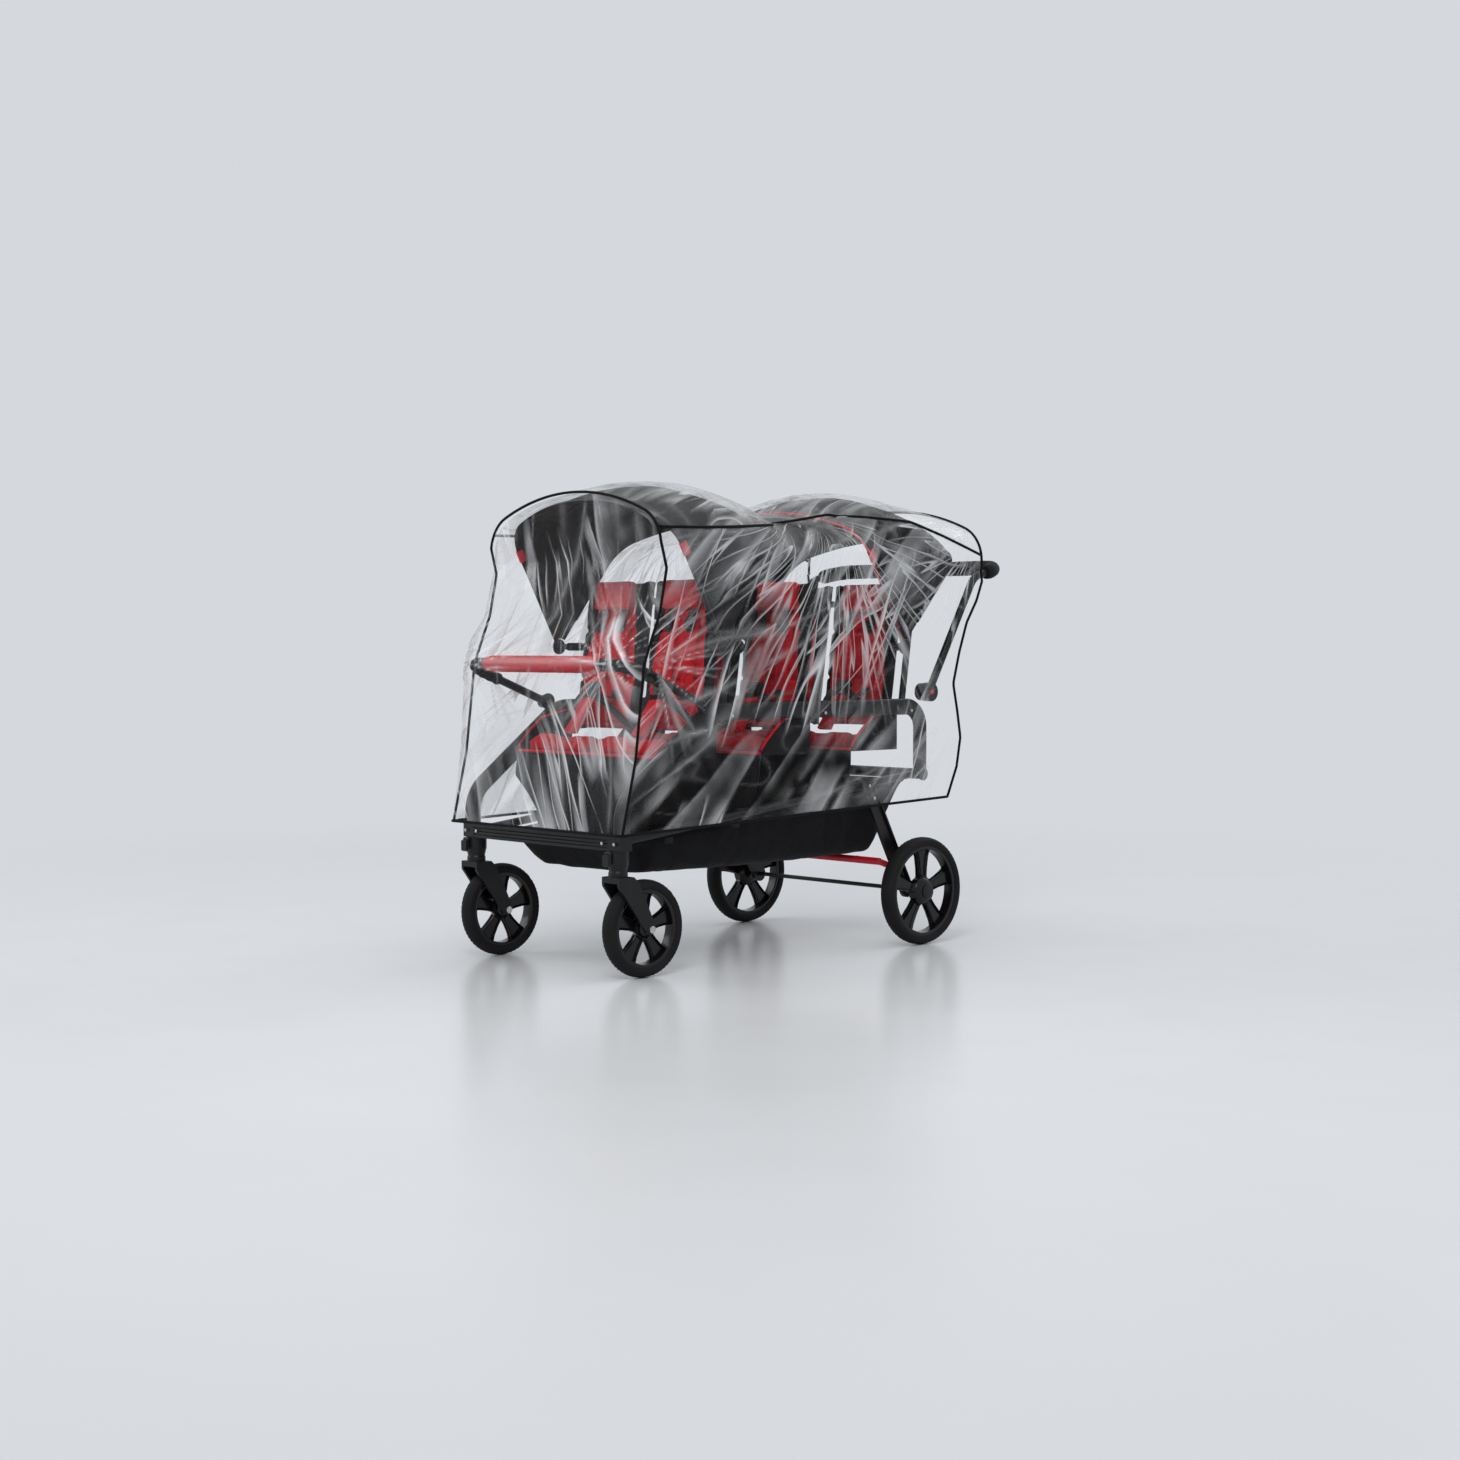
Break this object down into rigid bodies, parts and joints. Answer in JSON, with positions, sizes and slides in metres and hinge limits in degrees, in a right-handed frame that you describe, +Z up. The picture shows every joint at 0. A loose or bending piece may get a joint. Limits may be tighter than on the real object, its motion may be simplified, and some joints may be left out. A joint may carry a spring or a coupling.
{
  "type": "multi seat daycare stroller",
  "caption": "Long push stroller with rows of paired seats, two folding hoods, storage basket, bumper bar, folding handle and clear lift-off rain cover.",
  "frame": {"origin": "on the floor, below the middle of the stroller's bounding box", "axes": "the stroller faces -Y; +X to the right as seen from in front of it, which is the near side of the picture and the side that left and right are named from; +Y from the front wheels towards the push handle; +Z up"},
  "size_m": [0.763, 1.526, 1.293],
  "materials": {
    "tyre_rubber": "matt moulded rubber",
    "wheel_plastic": "glossy moulded",
    "black_plastic": "fine textured",
    "frame_black": "satin black coat on aluminium tube",
    "bright_steel": "drawn steel",
    "red_plastic": "moulded, slightly glossy",
    "black_cloth": "woven polyester",
    "red_cloth": "padded woven polyester",
    "grip_foam": "closed-cell foam",
    "clear_film": "clear flexible vinyl"
  },
  "bodies": {
    "chassis": {"back_frame_front": "frame_black", "back_frame_middle": "frame_black", "back_frame_rear": "frame_black", "back_pads_front": "red_cloth", "back_pads_middle": "red_cloth", "back_pads_rear": "red_cloth", "basket": "black_cloth", "bumper_sockets": "black_plastic", "caster_housings": "black_plastic", "crotch_pads": "red_cloth", "front_crossbar": "frame_black", "front_hood_trailing_cloth": "black_cloth", "handle_joints": "black_plastic", "harness_buckles": "black_plastic", "head_pads": "red_cloth", "lower_rails": "frame_black", "rear_axle": "frame_black", "rear_cross_tube": "frame_black", "rear_hood_trailing_cloth": "black_cloth", "rear_leg_left": "black_plastic", "rear_leg_right": "black_plastic", "seat_cross_tubes": "frame_black", "seat_cushions_front": "red_cloth", "seat_cushions_middle": "red_cloth", "seat_cushions_rear": "red_cloth", "seat_tub_front": "black_cloth", "seat_tub_middle": "black_cloth", "seat_tub_rear": "black_cloth", "shoulder_pads": "red_cloth", "side_frame_left": "frame_black", "side_frame_right": "frame_black"},
    "rain_cover": {"rain_cover_left": "clear_film", "rain_cover_right": "clear_film", "rain_cover_roof": "clear_film", "rain_cover_front": "clear_film"},
    "bumper": {"bumper_bar": "frame_black", "bumper_grip": "red_cloth"},
    "handle": {"handle_bar": "frame_black", "handle_grip": "grip_foam"},
    "brake": {"brake_bar": "red_plastic"},
    "caster_left": {"caster_fork_left": "black_plastic", "caster_bolt_left": "bright_steel"},
    "front_wheel_left": {"front_wheel_left": "wheel_plastic", "front_tyre_left": "tyre_rubber"},
    "rear_wheel_left": {"rear_wheel_left": "wheel_plastic", "rear_tyre_left": "tyre_rubber"},
    "swivel_lock_left": {"swivel_lock_left": "black_plastic"},
    "handle_button_left": {"handle_button_left": "red_plastic"},
    "caster_right": {"caster_fork_right": "black_plastic", "caster_bolt_right": "bright_steel"},
    "front_wheel_right": {"front_wheel_right": "wheel_plastic", "front_tyre_right": "tyre_rubber"},
    "rear_wheel_right": {"rear_wheel_right": "wheel_plastic", "rear_tyre_right": "tyre_rubber"},
    "swivel_lock_right": {"swivel_lock_right": "black_plastic"},
    "handle_button_right": {"handle_button_right": "red_plastic"},
    "front_hood": {"front_hood_leading_cloth": "black_cloth", "front_hood_bow": "frame_black"},
    "rear_hood": {"rear_hood_leading_cloth": "black_cloth", "rear_hood_bow": "frame_black"}
  },
  "joints": [
    {"name": "caster_swivel_left", "type": "hinge", "parent": "chassis", "child": "caster_left", "pos_m": [-0.295, -0.719, 0.264], "axis": [0, 0, 1], "continuous": true},
    {"name": "front_wheel_spin_left", "type": "hinge", "parent": "caster_left", "child": "front_wheel_left", "pos_m": [-0.295, -0.637, 0.126], "axis": [1, 0, 0], "continuous": true},
    {"name": "rear_wheel_spin_left", "type": "hinge", "parent": "chassis", "child": "rear_wheel_left", "pos_m": [-0.358, 0.361, 0.1525], "axis": [1, 0, 0], "continuous": true},
    {"name": "swivel_lock_tilt_left", "type": "hinge", "parent": "chassis", "child": "swivel_lock_left", "pos_m": [-0.295, -0.7514, 0.3256], "axis": [-1, 0, 0], "range_deg": [0, 35]},
    {"name": "handle_button_press_left", "type": "slide", "parent": "handle", "child": "handle_button_left", "axis": [1, 0, 0], "range_m": [0, 0.004], "stiffness_N_per_m": 500, "springref_m": -0.0005},
    {"name": "caster_swivel_right", "type": "hinge", "parent": "chassis", "child": "caster_right", "pos_m": [0.295, -0.719, 0.264], "axis": [0, 0, 1], "continuous": true},
    {"name": "front_wheel_spin_right", "type": "hinge", "parent": "caster_right", "child": "front_wheel_right", "pos_m": [0.295, -0.637, 0.126], "axis": [1, 0, 0], "continuous": true},
    {"name": "rear_wheel_spin_right", "type": "hinge", "parent": "chassis", "child": "rear_wheel_right", "pos_m": [0.358, 0.361, 0.1525], "axis": [1, 0, 0], "continuous": true},
    {"name": "swivel_lock_tilt_right", "type": "hinge", "parent": "chassis", "child": "swivel_lock_right", "pos_m": [0.295, -0.7514, 0.3256], "axis": [-1, 0, 0], "range_deg": [0, 35]},
    {"name": "handle_button_press_right", "type": "slide", "parent": "handle", "child": "handle_button_right", "axis": [-1, 0, 0], "range_m": [0, 0.004], "stiffness_N_per_m": 500, "springref_m": -0.0005},
    {"name": "bumper_swing", "type": "hinge", "parent": "chassis", "child": "bumper", "pos_m": [0, -0.447, 0.692], "axis": [-1, 0, 0], "range_deg": [0, 40]},
    {"name": "handle_fold", "type": "hinge", "parent": "chassis", "child": "handle", "pos_m": [0, 0.422, 0.716], "axis": [-1, 0, 0], "range_deg": [0, 75]},
    {"name": "brake_press", "type": "hinge", "parent": "chassis", "child": "brake", "pos_m": [0, 0.321, 0.216], "axis": [1, 0, 0], "range_deg": [0, 20]},
    {"name": "front_hood_fold", "type": "hinge", "parent": "chassis", "child": "front_hood", "pos_m": [0, -0.393, 0.845], "axis": [-1, 0, 0], "range_deg": [0, 36]},
    {"name": "rear_hood_fold", "type": "hinge", "parent": "chassis", "child": "rear_hood", "pos_m": [0, 0.311, 0.845], "axis": [-1, 0, 0], "range_deg": [0, 41]},
    {"name": "rain_cover_lift", "type": "slide", "parent": "chassis", "child": "rain_cover", "axis": [0, 0, 1], "range_m": [0, 0.35]}
  ]
}
